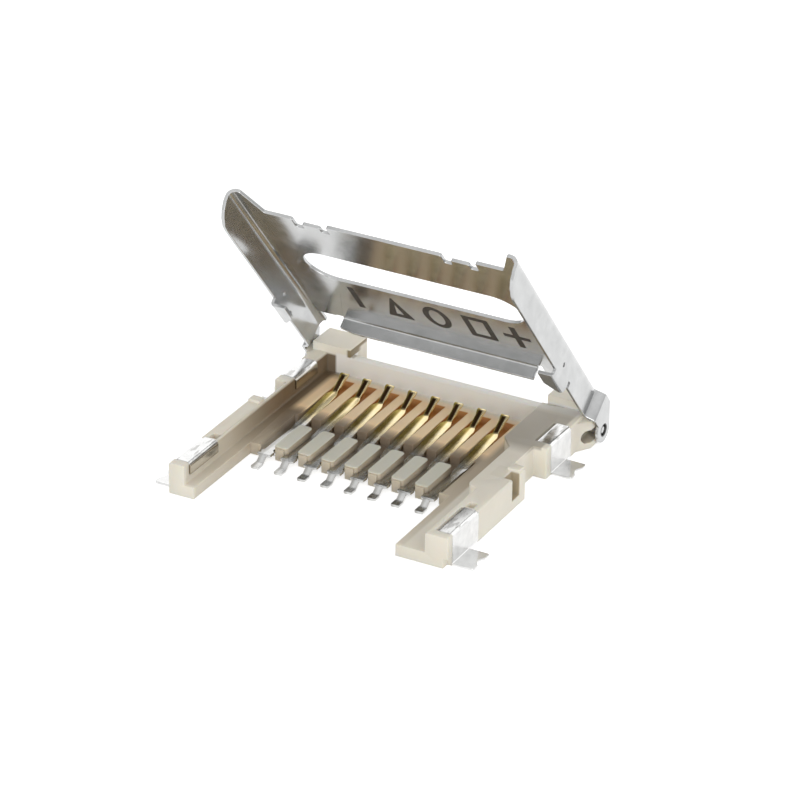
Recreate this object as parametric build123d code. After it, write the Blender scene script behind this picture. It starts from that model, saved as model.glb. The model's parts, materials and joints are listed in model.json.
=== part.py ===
from build123d import *
import os
from math import acos, atan2, cos, degrees, radians, sin, sqrt

# Hinged socket for a small memory card, in millimetres.
# +X is to the right, +Y runs from the open front to the hinge, +Z is up from the board.
# Points are laid out from the front of the rails and moved to the origin when they are written.
origin_from_rail_front = 8.0

# Card seat, with the rear wall's front measured from the rail fronts
card_width = 11.0
card_side_clearance = 0.065
rear_wall_front = 11.9
ledge_top = 0.54
left_ledge = 0.45
right_ledge = 1.32

# Housing
left_wall = 0.73
right_wall = 1.04
wall_top = 1.42
floor_front = 4.6
rear_wall_thickness = 0.43
rear_overhang = 1.07
edge_chamfer = 0.06

# Thick part of the right wall, which fills the cut-away side of the card
shoulder_front = 4.35
shoulder_inset = 0.41
shoulder_corner = 0.3
step_setback = 3.05
step_length = 0.7
step_inset = 1.01

# Corner blocks behind the walls
block_rise = 0.37
block_width = 1.85
left_block_length = 1.5
right_block_length = 1.0

# Outer face of the walls
recess_front_clearance = 0.1
recess_rear_clearance = 0.2
recess_depth = 0.6
rib_length = 0.45
rib_rise = 0.1
key_slot_length = 0.7
key_slot_depth = 0.42
key_slot_sill = 0.4
toe_inset = 0.2
toe_length = 0.4
toe_height = 0.45

# Pivot ears
ear_length = 2.0
ear_ramp = 0.65
ear_rise = 0.4
ear_drop = 0.12
ear_slot_travel = 0.9
ear_slot_depth = 0.7

# Hinge
pivot_setback = 0.6
pivot_z = 0.575
boss_radius = 0.25
boss_clearance = 0.03
boss_reach = 0.5
dimple_radius = 0.15
dimple_depth = 0.35
open_angle = 50.3

# Cover, laid out flat and closed: distances run forward from the pivot, heights up from it
sheet = 0.15
flange_clearance = 0.07
plate_clearance = 0.31
fold_radius = 0.35
main_edge_setback = 1.1
main_edge_half = 2.65
notch_depth = 0.6
notch_width = 0.36
inner_tongue_setback = 0.25
inner_tongue_width = 0.84
outer_tongue_reach = 0.05
outer_tongue_inset = 1.17
horn_width = 0.57
horn_overhang = 0.45
plan_corner = 0.09
flange_drop = 0.15
nose_radius = 1.2
lip_back = 2.16
lip_gap = 0.1
lip_height = 0.59
lip_fold = 0.3
lip_bend = 0.16
lobe_back = 1.7
lobe_width = 0.9
lobe_inset = 1.57
plate_back = 2.35
plate_back_inset = 0.42
window_setback = 2.96
window_width = 2.36
window_inset = 1.57
flange_hole_radius = 0.1
flange_hole_reach = 5.41
flange_hole_height = 0.33
tab_back = 4.35
tab_length = 1.6
tab_drop = 0.35
tab_side_clearance = 0.08
tab_slant = 0.65
tab_fold = 0.12
relief_length = 0.22
relief_height = 0.25
arm_clearance = 0.06
joggle_end = 1.05
joggle_length = 0.4
joggle_bend = 0.12
arm_end_radius = 0.56
arm_top_drop = 0.145
arm_shoulder_reach = 0.55

# Contacts
contact_count = 8
contact_pitch = 1.10
contact_row_shift = -0.445
contact_stock = 0.12
contact_bend = 0.2
tail_reach = 1.11
tail_width = 0.4
tail_foot = 0.45
foot_width = 0.44
shoulder_width = 0.62
shoulder_length = 0.4
shoulder_height = 0.3
root_width = 0.4
spring_width = 0.52
spring_gap = 0.4
spring_rise_length = 0.86
neck_width = 0.3
neck_taper = 0.3
spring_mid = 0.5
tip_gap = 0.74
tip_rise = 0.52
tip_width = 0.4
tip_taper = 0.3
tip_turn = 0.08
tip_bend = 0.08

# Contact field in the floor
field_floor = 0.14
field_side_wall = 0.14
channel_clearance = 0.04
pad_setback = 0.1
pad_length = 2.2
pad_rise = 0.06
divider_gap = 0.8
slot_clearance = 0.06
slot_end_gap = 0.43
shoulder_notch_length = 0.4

# Solder tabs
tab_stock = 0.1
tab_bend = 0.15
tab_inner_leg = 0.75
tab_leg_depth = 0.5
tab_foot_reach = 0.95
tab_foot_notch = 0.16
foot_notch_radius = 0.45
front_tab_start = 0.42
front_tab_length = 2.23
front_foot_length = 1.44
rear_tab_gap = 0.47
rear_tab_length = 1.83
rear_foot_length = 1.41
foot_corner = 0.12
pocket_gap = 0.07
pocket_length = 0.42
pocket_width = 0.34
pocket_depth = 0.8

# Housing places worked out from the sizes above
seat_half = card_width / 2 + card_side_clearance
seat_centre = (left_wall - right_wall) / 2
seat_left = seat_centre - seat_half
seat_right = seat_centre + seat_half
left_ledge_edge = seat_left + left_ledge
right_ledge_edge = seat_right - right_ledge
body_half = seat_half + (left_wall + right_wall) / 2
rear_wall_back = rear_wall_front + rear_wall_thickness
housing_back = rear_wall_back + rear_overhang
block_top = wall_top + block_rise
step_back = rear_wall_front - step_setback
step_front = step_back - step_length
ear_outer = body_half + ear_rise
ear_front = housing_back - ear_length
pivot_y = housing_back - pivot_setback
ear_slot_front = pivot_y - ear_slot_travel

# Cover places
cover_half = body_half + flange_clearance + sheet
flange_inner = cover_half - sheet
plate_inner_height = wall_top + plate_clearance - pivot_z
plate_outer_height = plate_inner_height + sheet
horn_edge = pivot_y + horn_overhang
main_edge = pivot_y - main_edge_setback
window_front = main_edge - window_setback
window_back = window_front - window_width
window_half = cover_half - window_inset
lobe_outer = cover_half - lobe_inset
lobe_inner = lobe_outer - lobe_width
lip_half = lobe_inner - lip_gap
tab_front = tab_back + tab_length
joggle_start = joggle_end + joggle_length
arm_inner = ear_outer + arm_clearance
arm_outer = arm_inner + sheet
arm_top_height = plate_outer_height - arm_top_drop
boss_tip = arm_inner - boss_reach

# Places on the outer face of the walls, which follow the cover's inward tabs
recess_front = pivot_y - tab_front - recess_front_clearance
recess_back = pivot_y - tab_back + recess_rear_clearance
key_slot_back = recess_front - rib_length
key_slot_front = key_slot_back - key_slot_length
front_tab_end = front_tab_start + front_tab_length
front_foot_end = front_tab_start + front_foot_length
rear_tab_start = recess_back + rear_tab_gap
rear_tab_end = rear_tab_start + rear_tab_length
rear_foot_end = rear_tab_start + rear_foot_length
pocket_start = front_tab_end + pocket_gap

# Contact and contact field places
contact_row_centre = seat_centre + contact_row_shift
slot_half = spring_width / 2 + slot_clearance
field_half = (contact_count - 1) * contact_pitch / 2 + slot_half + field_side_wall
pad_front = floor_front + pad_setback
pad_back = pad_front + pad_length
pad_top = ledge_top + pad_rise
divider_front = pad_back + divider_gap
slot_end = rear_wall_front - slot_end_gap
shoulder_notch_back = pad_front + shoulder_notch_length
spring_start = pad_back + spring_gap
tip_reach = rear_wall_front - tip_gap
tip_height = ledge_top + tip_rise
spring_mid_reach = tip_reach - spring_rise_length
tail_end = floor_front - tail_reach


def block(x_range, y_range, z_range):
    """A rectangular block between two limits along each axis."""
    size = [limits[1] - limits[0] for limits in (x_range, y_range, z_range)]
    centre = [(limits[1] + limits[0]) / 2 for limits in (x_range, y_range, z_range)]
    return Pos(*centre) * Box(*size)


def sided(side, near, far):
    """Limits along X measured outward from the middle, on the left or the right side."""
    return (near, far) if side > 0 else (-far, -near)


def plan_prism(points, z_range):
    """A prism with its outline in plan, given as X and Y, between two heights."""
    face = make_face(Polyline(*[(x, y, z_range[0]) for x, y in points], close=True))
    return extrude(face, amount=z_range[1] - z_range[0], dir=(0, 0, 1))


def side_prism(points, x_range):
    """A prism with its outline seen from the side, given as Y and Z, between two X limits."""
    face = make_face(Polyline(*[(x_range[0], y, z) for y, z in points], close=True))
    return extrude(face, amount=x_range[1] - x_range[0], dir=(1, 0, 0))


def front_prism(points, y_range):
    """A prism with its outline seen from the front, given as X and Z, between two Y limits."""
    face = make_face(Polyline(*[(x, y_range[0], z) for x, z in points], close=True))
    return extrude(face, amount=y_range[1] - y_range[0], dir=(0, 1, 0))


def rounded_plan_prism(points, radius, z_range):
    """A plan prism whose corners are all rounded by one radius."""
    wire = FilletPolyline(*[(x, y, z_range[0]) for x, y in points], radius=radius, close=True)
    return extrude(make_face(wire), amount=z_range[1] - z_range[0], dir=(0, 0, 1))


def strip_face(points, radius, thickness, plane):
    """The edge-on view of a bent strip of even thickness that follows its middle line."""
    return plane * trace(FilletPolyline(*points, radius=radius), thickness)


def side_view_plane(x):
    """A plane across the part at an X position, with Y to the right and Z up."""
    return Plane(origin=(x, 0, 0), x_dir=(0, 1, 0), z_dir=(1, 0, 0))


def front_view_plane(y):
    """A plane across the part at a Y position, with X to the right and Z up."""
    return Plane(origin=(0, y, 0), x_dir=(1, 0, 0), z_dir=(0, -1, 0))


def wall_section(inner, outer, bottom, top):
    """The section of a wall with both top edges chamfered."""
    middle_side = edge_chamfer if outer > inner else -edge_chamfer
    return [
        (inner, bottom),
        (outer, bottom),
        (outer, top - edge_chamfer),
        (outer - middle_side, top),
        (inner + middle_side, top),
        (inner, top - edge_chamfer),
    ]


def contact_centre(number):
    """The X position of a contact, counted from the left."""
    return contact_row_centre + contact_pitch * (number - (contact_count + 1) / 2)


def rails_and_floor():
    """Two rails with their ledges, the side walls and the seat floor between them."""
    left_rail = block((-body_half, left_ledge_edge), (0, housing_back), (0, ledge_top))
    right_rail = block((right_ledge_edge, body_half), (0, housing_back), (0, ledge_top))
    floor = block((left_ledge_edge, right_ledge_edge), (floor_front, rear_wall_back), (0, ledge_top))
    walls = front_prism(wall_section(seat_left, -body_half, 0, wall_top), (0, housing_back))
    walls += front_prism(wall_section(seat_right, body_half, 0, wall_top), (0, housing_back))
    return left_rail + right_rail + floor + walls


def polarising_shoulder():
    """The thicker part of the right wall, in two steps with a rounded corner and a slant."""
    inner = seat_right - shoulder_inset
    deep = seat_right - step_inset
    outline = [
        (seat_right + edge_chamfer, shoulder_front),
        (inner, shoulder_front),
        (inner, step_front),
        (deep, step_back),
        (deep, rear_wall_back),
        (seat_right + edge_chamfer, rear_wall_back),
    ]
    shoulder = plan_prism(outline, (0, wall_top))
    corner = shoulder.edges().filter_by(Axis.Z).group_by(Axis.Y)[0].sort_by(Axis.X)[0]
    return fillet(corner, shoulder_corner)


def rear_wall():
    """The wall that the card stops against, with a chamfered top."""
    section = [
        (rear_wall_front, 0),
        (rear_wall_back, 0),
        (rear_wall_back, wall_top - edge_chamfer),
        (rear_wall_back - edge_chamfer, wall_top),
        (rear_wall_front + edge_chamfer, wall_top),
        (rear_wall_front, wall_top - edge_chamfer),
    ]
    return side_prism(section, (-body_half + edge_chamfer, body_half - edge_chamfer))


def corner_blocks():
    """The two taller blocks behind the walls."""
    blocks = []
    for side, length in ((-1, left_block_length), (1, right_block_length)):
        x_range = sided(side, body_half - block_width, body_half)
        blocks.append(block(x_range, (housing_back - length, housing_back), (0, block_top)))
    return blocks


def ear(side):
    """A pivot ear: a pad that ramps out from the wall."""
    outline = [
        (side * (body_half - edge_chamfer), ear_front),
        (side * body_half, ear_front),
        (side * ear_outer, ear_front + ear_ramp),
        (side * ear_outer, housing_back),
        (side * (body_half - edge_chamfer), housing_back),
    ]
    return plan_prism(outline, (0, wall_top - ear_drop))


def ear_slot(side):
    """The long slot that the pivot boss runs in."""
    radius = boss_radius + boss_clearance
    slot = SlotCenterToCenter(pivot_y - ear_slot_front, 2 * radius)
    middle = (ear_slot_front + pivot_y) / 2
    inner = ear_outer - ear_slot_depth
    place = Plane(origin=(side * inner, middle, pivot_z), x_dir=(0, 1, 0), z_dir=(side, 0, 0))
    return extrude(place * slot, amount=2 * ear_slot_depth)


def wall_recess(side):
    """The recess that lets the cover's inward tab pass down the outside of the wall."""
    x_range = sided(side, body_half - recess_depth, body_half + sheet)
    return block(x_range, (recess_front, recess_back), (-sheet, block_top))


def key_slot():
    """The narrow slot with a sill in the right wall's outer face."""
    x_range = (body_half - key_slot_depth, body_half + sheet)
    return block(x_range, (key_slot_front, key_slot_back), (key_slot_sill, block_top))


def rib(side):
    """The small raised rib in front of the recess."""
    x_range = sided(side, body_half - recess_depth, body_half - edge_chamfer)
    return block(x_range, (key_slot_back, recess_front), (wall_top - edge_chamfer, wall_top + rib_rise))


def contact_field():
    """Everything cut from the floor for the contacts."""
    sides = (contact_row_centre - field_half, contact_row_centre + field_half)
    cuts = [block(sides, (pad_front, divider_front), (field_floor, wall_top))]
    for number in range(1, contact_count + 1):
        centre = contact_centre(number)
        half = shoulder_width / 2 + channel_clearance
        cuts.append(block((centre - half, centre + half), (0, shoulder_notch_back), (-sheet, wall_top)))
        slot_sides = (centre - slot_half, centre + slot_half)
        cuts.append(block(slot_sides, (pad_front, slot_end), (field_floor, wall_top)))
    return cuts


def field_pads():
    """The rounded pads that stand between the contacts' roots."""
    half_gap = (contact_pitch - root_width) / 2 - channel_clearance
    parts = []
    for number in range(1, contact_count):
        centre = contact_centre(number) + contact_pitch / 2
        outline = [
            (centre - half_gap, pad_front),
            (centre + half_gap, pad_front),
            (centre + half_gap, pad_back),
            (centre - half_gap, pad_back),
        ]
        parts.append(rounded_plan_prism(outline, half_gap / 2, (0, pad_top)))
    return parts


def strap_blank(side, start, end):
    """A formed strip from the leg in the wall, over its top and down to the foot."""
    outer = body_half - tab_stock / 2
    top = wall_top - tab_stock / 2
    inner = body_half - tab_inner_leg
    points = [
        (side * inner, top - tab_leg_depth),
        (side * inner, top),
        (side * outer, top),
        (side * outer, tab_stock / 2),
        (side * (body_half + tab_foot_reach), tab_stock / 2),
    ]
    face = strip_face(points, tab_bend, tab_stock, front_view_plane(start))
    return extrude(face, amount=end - start, dir=(0, 1, 0))


def solder_tab(side, start, strap_end, foot_end):
    """A staple over the wall with a notched foot on the board."""
    past_foot = sided(side, body_half, body_half + 2 * tab_foot_reach)
    tab = strap_blank(side, start, strap_end)
    tab -= block(past_foot, (foot_end, strap_end + tab_stock), (-tab_stock, wall_top))
    notch_middle = (start + foot_end) / 2
    notch_centre = body_half + tab_foot_reach - tab_foot_notch + foot_notch_radius
    tab -= Pos(side * notch_centre, notch_middle, 0) * Cylinder(foot_notch_radius, wall_top)
    toes = tab.edges().filter_by(Axis.Z).group_by(Axis.X)[-1 if side > 0 else 0]
    return fillet(toes, foot_corner)


def strap_pocket(start, strap_end, side):
    """The room cut in the wall for a solder tab, flush with its faces."""
    top = block(
        sided(side, body_half - tab_inner_leg - tab_stock / 2, body_half + sheet),
        (start, strap_end),
        (wall_top - tab_stock, wall_top + sheet),
    )
    face = block(
        sided(side, body_half - tab_stock, body_half + sheet),
        (start, strap_end),
        (-sheet, wall_top),
    )
    leg = block(
        sided(side, body_half - tab_inner_leg - tab_stock / 2, body_half - tab_inner_leg + tab_stock / 2),
        (start, strap_end),
        (wall_top - tab_stock - tab_leg_depth, wall_top),
    )
    return top + face + leg


def tool_pocket(side):
    """The small square hole in the wall behind a front solder tab."""
    inner = body_half - tab_inner_leg + tab_stock
    x_range = sided(side, inner, inner + pocket_width)
    y_range = (pocket_start, pocket_start + pocket_length)
    return block(x_range, y_range, (wall_top - pocket_depth, block_top))


def toe_notch():
    """The set-back lower corner at the front of the right rail."""
    x_range = (body_half - toe_inset, body_half + sheet)
    return block(x_range, (-sheet, toe_length), (-sheet, toe_height))


def make_housing():
    """The whole moulding."""
    body = rails_and_floor() + [polarising_shoulder(), rear_wall(), ear(-1), ear(1)] + corner_blocks()
    cuts = contact_field() + [key_slot(), toe_notch()]
    for side in (-1, 1):
        cuts.append(wall_recess(side))
        cuts.append(ear_slot(side))
        cuts.append(strap_pocket(front_tab_start, front_tab_end, side))
        cuts.append(strap_pocket(rear_tab_start, rear_tab_end, side))
        cuts.append(tool_pocket(side))
    return (body - cuts) + field_pads() + [rib(-1), rib(1)]


def make_contact(number):
    """A formed contact: foot, tail, shoulder, buried root, spring and turned-up tip."""
    shoulder_end = pad_front - channel_clearance
    shoulder_start = shoulder_end - shoulder_length
    points = [
        (tail_end, contact_stock / 2),
        (tail_end + tail_foot, contact_stock / 2),
        (shoulder_start, shoulder_height),
        (spring_start, shoulder_height - contact_stock / 2),
        (spring_mid_reach, spring_mid),
        (tip_reach, tip_height - contact_stock / 2),
        (tip_reach + tip_turn, tip_height - contact_stock),
    ]
    radii = [contact_bend] * (len(points) - 3) + [tip_bend]
    face = strip_face(points, radii, contact_stock, side_view_plane(0))
    blank = extrude(face, amount=shoulder_width / 2, both=True, dir=(1, 0, 0))
    outline = [
        (foot_width / 2, tail_end - contact_stock),
        (foot_width / 2, tail_end + tail_foot),
        (tail_width / 2, tail_end + tail_foot),
        (tail_width / 2, shoulder_start),
        (shoulder_width / 2, shoulder_start),
        (shoulder_width / 2, shoulder_end),
        (root_width / 2, shoulder_end),
        (root_width / 2, pad_back),
        (spring_width / 2, spring_start),
        (spring_width / 2, spring_mid_reach - neck_taper),
        (neck_width / 2, spring_mid_reach),
        (neck_width / 2, tip_reach - tip_taper),
        (tip_width / 2, tip_reach - tip_turn),
        (tip_width / 2, tip_reach + 2 * tip_turn),
    ]
    full = outline + [(-x, y) for x, y in reversed(outline)]
    return Pos(contact_centre(number), 0, 0) * (blank & plan_prism(full, (-contact_stock, wall_top)))


def forward(reach):
    """The Y position of a distance forward of the pivot, with the cover closed."""
    return pivot_y - reach


def up(height):
    """The Z position of a height above the pivot, with the cover closed."""
    return pivot_z + height


def cover_blank():
    """The plate and its two flanges as one folded channel."""
    side_line = cover_half - sheet / 2
    plate_line = up(plate_inner_height + sheet / 2)
    points = [
        (-side_line, up(-flange_drop)),
        (-side_line, plate_line),
        (side_line, plate_line),
        (side_line, up(-flange_drop)),
    ]
    face = strip_face(points, fold_radius, sheet, front_view_plane(forward(horn_edge)))
    return extrude(face, amount=horn_edge - joggle_start, dir=(0, 1, 0))


def cover_plan():
    """The outline of the flat plate seen from above, wider than the cover at its flanges."""
    notch_floor = main_edge - notch_depth
    inner_tongue = main_edge_half + notch_width
    inner_tongue_edge = main_edge - inner_tongue_setback
    outer_tongue_edge = main_edge + outer_tongue_reach
    inner_tongue_end = inner_tongue + inner_tongue_width
    outer_tongue = inner_tongue_end + notch_width
    past_flange = cover_half + sheet
    half = [
        (main_edge_half, main_edge),
        (main_edge_half, notch_floor),
        (inner_tongue, notch_floor),
        (inner_tongue, inner_tongue_edge),
        (inner_tongue_end, inner_tongue_edge),
        (inner_tongue_end, notch_floor),
        (outer_tongue, notch_floor),
        (outer_tongue, outer_tongue_edge),
        (cover_half - outer_tongue_inset, outer_tongue_edge),
        (cover_half - horn_width, horn_edge),
        (past_flange, horn_edge),
        (past_flange, joggle_start),
        (cover_half - plate_back_inset, joggle_start),
        (cover_half - plate_back_inset, plate_back),
        (lobe_outer, plate_back),
        (lobe_outer, lobe_back),
        (lobe_inner, lobe_back),
        (lobe_inner, lip_back + lip_fold),
    ]
    full = half + [(-x, reach) for x, reach in reversed(half)]
    points = [(x, forward(reach)) for x, reach in full]
    return rounded_plan_prism(points, plan_corner, (0, up(plate_outer_height) + sheet))


def flange_side():
    """The side outline of the flanges: square at the back, with a large round at the free end."""
    past = cover_half + sheet
    top = up(plate_outer_height) + sheet
    outline = [
        (forward(horn_edge), up(-flange_drop)),
        (forward(horn_edge), top),
        (forward(joggle_start), top),
        (forward(joggle_start), up(-flange_drop)),
    ]
    side = side_prism(outline, (-past, past))
    nose = side.edges().filter_by(Axis.X).group_by(Axis.Z)[0].sort_by(Axis.Y)[0]
    return fillet(nose, nose_radius)


def arm(side):
    """A joggled arm with its round end and the boss pressed in at the pivot."""
    line = [
        (side * (flange_inner + sheet / 2), forward(joggle_start + sheet)),
        (side * (flange_inner + sheet / 2), forward(joggle_start)),
        (side * (arm_inner + sheet / 2), forward(joggle_end)),
        (side * (arm_inner + sheet / 2), forward(-arm_end_radius)),
    ]
    bottom = up(-arm_end_radius)
    face = strip_face(line, joggle_bend, sheet, Plane(origin=(0, 0, bottom)))
    blank = extrude(face, amount=arm_end_radius + arm_top_height, dir=(0, 0, 1))
    corner = (arm_shoulder_reach, arm_top_height)
    corner_distance = sqrt(corner[0] ** 2 + corner[1] ** 2)
    swing = degrees(acos(arm_end_radius / corner_distance) + atan2(corner[1], corner[0]))
    touch = (arm_end_radius * cos(radians(swing)), arm_end_radius * sin(radians(swing)))
    root = joggle_start + 2 * sheet
    outline = [(root, -flange_drop), (root, arm_top_height), corner, touch, (0, -flange_drop)]
    past = arm_outer + sheet
    profile = side_prism([(forward(reach), up(height)) for reach, height in outline], (-past, past))
    profile += along_x(arm_end_radius, -past, past)
    boss = along_x(boss_radius, side * boss_tip, side * (arm_inner + sheet / 2))
    tip = boss.edges().filter_by(GeomType.CIRCLE).sort_by(Axis.X)[0 if side > 0 else -1]
    boss = fillet(tip, boss_radius / 3)
    dimple = along_x(dimple_radius, side * (arm_outer - dimple_depth), side * past)
    return (blank & profile) + boss - dimple


def along_x(radius, start, end):
    """A round bar on the pivot line between two X positions."""
    middle = ((start + end) / 2, pivot_y, pivot_z)
    return Pos(*middle) * Rot(0, 90, 0) * Cylinder(radius, abs(end - start))


def rear_lip():
    """The narrow lip bent down at the back of the plate."""
    plate_line = up(plate_inner_height + sheet / 2)
    line = [
        (forward(lip_back + lip_fold + sheet), plate_line),
        (forward(lip_back + sheet / 2), plate_line),
        (forward(lip_back + sheet / 2), up(plate_inner_height - lip_height)),
    ]
    face = strip_face(line, lip_bend, sheet, side_view_plane(-lip_half))
    return extrude(face, amount=2 * lip_half, dir=(1, 0, 0))


def inward_tab(side):
    """The tab under a flange that is bent in towards the housing's recess."""
    tip = body_half - recess_depth + tab_side_clearance
    low = up(-flange_drop - tab_drop + sheet / 2)
    side_line = cover_half - sheet / 2
    line = [
        (side * side_line, up(-flange_drop + sheet)),
        (side * side_line, low),
        (side * tip, low),
    ]
    face = strip_face(line, tab_fold, sheet, front_view_plane(forward(tab_front)))
    tab = extrude(face, amount=tab_front - tab_back, dir=(0, 1, 0))
    corner = [
        (side * (tip - sheet), forward(tab_back + tab_slant)),
        (side * (tip - sheet), forward(tab_back - sheet)),
        (side * (flange_inner + sheet), forward(tab_back - sheet)),
        (side * flange_inner, forward(tab_back)),
        (side * tip, forward(tab_back + tab_slant)),
    ]
    return tab - plan_prism(corner, (0, up(0)))


def make_cover():
    """The folded cover, made closed and then swung open about its bosses."""
    cover = cover_blank() & cover_plan() & flange_side()
    cover += rear_lip()
    past = arm_outer + sheet
    for side in (-1, 1):
        cover += arm(side)
        cover += inward_tab(side)
    window = extrude(SlotOverall(2 * window_half, window_width), amount=sheet, both=True)
    cover -= Pos(0, forward(window_back + window_width / 2), up(plate_outer_height)) * window
    holes = Rot(0, 90, 0) * Cylinder(flange_hole_radius, 2 * past)
    cover -= Pos(0, forward(flange_hole_reach), up(flange_hole_height)) * holes
    relief = (forward(tab_back), forward(tab_back - relief_length))
    relief_rise = (up(-flange_drop - sheet), up(-flange_drop + relief_height))
    cover -= block((-past, past), relief, relief_rise)
    return cover.rotate(Axis((0, pivot_y, pivot_z), (1, 0, 0)), -open_angle)


def write(name, shape):
    """Moves a finished piece to the part's own origin and writes it."""
    export_step(Pos(0, -origin_from_rail_front, 0) * shape, f"parts/{name}.step")


os.makedirs("parts", exist_ok=True)
write("housing", make_housing())
write("cover", make_cover())
for number in range(1, contact_count + 1):
    write(f"contact_{number}", make_contact(number))
for side, side_name in ((-1, "left"), (1, "right")):
    write(f"solder_tab_front_{side_name}", solder_tab(side, front_tab_start, front_tab_end, front_foot_end))
    write(f"solder_tab_rear_{side_name}", solder_tab(side, rear_tab_start, rear_tab_end, rear_foot_end))
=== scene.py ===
import json
from math import acos, atan2, cos, hypot, pi, radians, sin, tan

import bmesh
import bpy
from mathutils import Matrix, Vector
from mathutils.bvhtree import BVHTree


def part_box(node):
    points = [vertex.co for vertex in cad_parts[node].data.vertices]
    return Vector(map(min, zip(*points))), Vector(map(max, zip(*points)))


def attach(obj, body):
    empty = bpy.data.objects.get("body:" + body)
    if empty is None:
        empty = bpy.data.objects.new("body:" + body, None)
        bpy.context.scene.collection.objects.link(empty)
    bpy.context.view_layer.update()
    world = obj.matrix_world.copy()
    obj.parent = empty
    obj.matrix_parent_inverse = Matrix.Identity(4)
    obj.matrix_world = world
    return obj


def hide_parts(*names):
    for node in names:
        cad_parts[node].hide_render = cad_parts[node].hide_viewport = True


# Looks of a hinged socket for a small memory card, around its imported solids.
# Plans and profiles are laid out in millimetres in the row's frame, and meshes are made in metres.
MM = 0.001
BLACK = (0, 0, 0)
WHITE = (1, 1, 1)

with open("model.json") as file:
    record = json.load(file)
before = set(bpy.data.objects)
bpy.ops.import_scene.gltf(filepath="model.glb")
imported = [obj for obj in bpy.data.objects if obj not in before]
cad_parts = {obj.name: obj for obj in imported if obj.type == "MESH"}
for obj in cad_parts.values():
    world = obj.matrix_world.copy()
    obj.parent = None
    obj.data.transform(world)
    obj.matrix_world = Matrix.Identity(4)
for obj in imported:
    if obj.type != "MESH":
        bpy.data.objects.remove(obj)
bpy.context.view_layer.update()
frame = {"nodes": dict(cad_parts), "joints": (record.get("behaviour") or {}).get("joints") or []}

# Hinge, read from the frame: the cover is laid out closed and turned open about this line
hinge = frame["joints"][0]
pivot_y = hinge["pos_m"][1] / MM
pivot_z = hinge["pos_m"][2] / MM
open_angle = radians(-hinge["range_deg"][0])

# Place along Y of the fronts of the rails, which the camera is set by
rail_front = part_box("housing")[0].y / MM

# Cover sheet: distances run forward from the hinge line, heights up from it
cover_sheet = 0.15
cover_half = 6.67
plate_height = 1.23
fold_radius = 0.35
flange_drop = 0.15
horn_edge = 13.245
horn_width = 0.57
nose_radius = 1.2
main_edge = 11.7
main_edge_half = 2.65
notch_depth = 0.6
notch_width = 0.36
inner_tongue_edge = 11.45
inner_tongue_width = 0.84
outer_tongue_edge = 11.75
outer_tongue_half = 5.5
plan_corner = 0.09
window_back = 6.38
window_front = 8.74
window_half = 5.1
lip_back = 2.16
lip_right = 4.2
lip_left = 5.1
lip_height = 0.59
lip_bend = 0.16
lobe_back = 1.7
lobe_inner = 4.4
lobe_outer = 5.1
plate_back = 2.35
joggle_start = 1.45
joggle_end = 1.05
arm_line = 6.985
arm_end_radius = 0.56
arm_top_height = 1.16
arm_shoulder_reach = 0.55
flange_hole_radius = 0.1
flange_hole_reach = 5.41
flange_hole_height = 0.33
tab_back = 4.35
tab_front = 5.95
tab_drop = 0.35
tab_tip = 5.93
tab_slant = 0.65
tab_fold = 0.12
relief_length = 0.22
relief_height = 0.25
boss_radius = 0.25
boss_reach = 0.5
# The lip's gaps and rough left end, and how far past its ends the bend still takes points along
lip_gap = 0.3
lip_step = 0.05
lip_slant_length = 0.7
lip_slant_height = 0.12
lip_margin = 0.04
# Below its flange the sheet is bent inwards only this far in front of the joggle
inward_clearance = 0.5
# Where the round end of an arm meets the flange's lower edge, as a share of its radius
arm_foot_share = 0.97

# Contacts, with the dish across each: its depth at a half width, and where along Y it rises and falls
contact_count = 8
contact_pitch = 1.10
contact_row_centre = -0.6
contact_stock = 0.12
contact_dish = 0.045
dish_half = 0.26
dish_start, dish_rise = -1.6, 1.2
dish_end, dish_fall = 3.0, 0.6
# Places across a contact where its blank is cut lengthwise
contact_cuts = [-0.235, -0.10, -0.05, 0.0, 0.05, 0.10, 0.235]
# Side path of one contact as places along Y and Z with bend radii, in the stock's middle
contact_path = [
    (-4.51, 0.06, 0.0),
    (-4.06, 0.06, 0.2),
    (-3.74, 0.30, 0.2),
    (-0.70, 0.24, 0.2),
    (2.30, 0.50, 0.2),
    (3.16, 1.00, 0.08),
    (3.24, 0.94, 0.0),
]
# Half widths of a contact at places along Y, from its foot to its tip, with corner radii in plan
contact_half_widths = [
    (-4.51, 0.19, 0.05),
    (-4.10, 0.19, 0.03),
    (-4.02, 0.16, 0.03),
    (-3.76, 0.16, 0.03),
    (-3.74, 0.31, 0.06),
    (-3.36, 0.31, 0.06),
    (-3.30, 0.20, 0.04),
    (-1.10, 0.20, 0.10),
    (-0.70, 0.26, 0.10),
    (2.00, 0.26, 0.15),
    (2.30, 0.14, 0.15),
    (2.90, 0.14, 0.15),
    (3.08, 0.19, 0.05),
    (3.24, 0.19, 0.06),
]

# Solder tabs: the path of a right-hand strap across X and Z, with bend radii
tab_stock = 0.1
strap_path = [
    (5.70, 0.87, 0.0),
    (5.70, 1.37, 0.15),
    (6.40, 1.37, 0.15),
    (6.40, 0.05, 0.09),
    (7.40, 0.05, 0.0),
]
# Along Y: where a strap starts, where its top and leg end, and where its foot ends
strap_places = {"front": (-7.58, -5.35, -6.14), "rear": (1.12, 2.95, 2.53)}
foot_edge = 6.45
foot_notch_centre = 7.69
foot_notch_radius = 0.45

# Ink marks between the window and the lip: their place forward of the hinge, how far the ink stands off the
# sheet, their size, and each one's place across with its shape
mark_reach = 5.0
ink_lift = 0.003
mark_height = 1.9
mark_width = 1.25
mark_stroke = 0.29
marks = [(-3.55, "bar"), (-1.65, "triangle"), (0.3, "ring"), (2.3, "square"), (4.05, "cross")]

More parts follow.
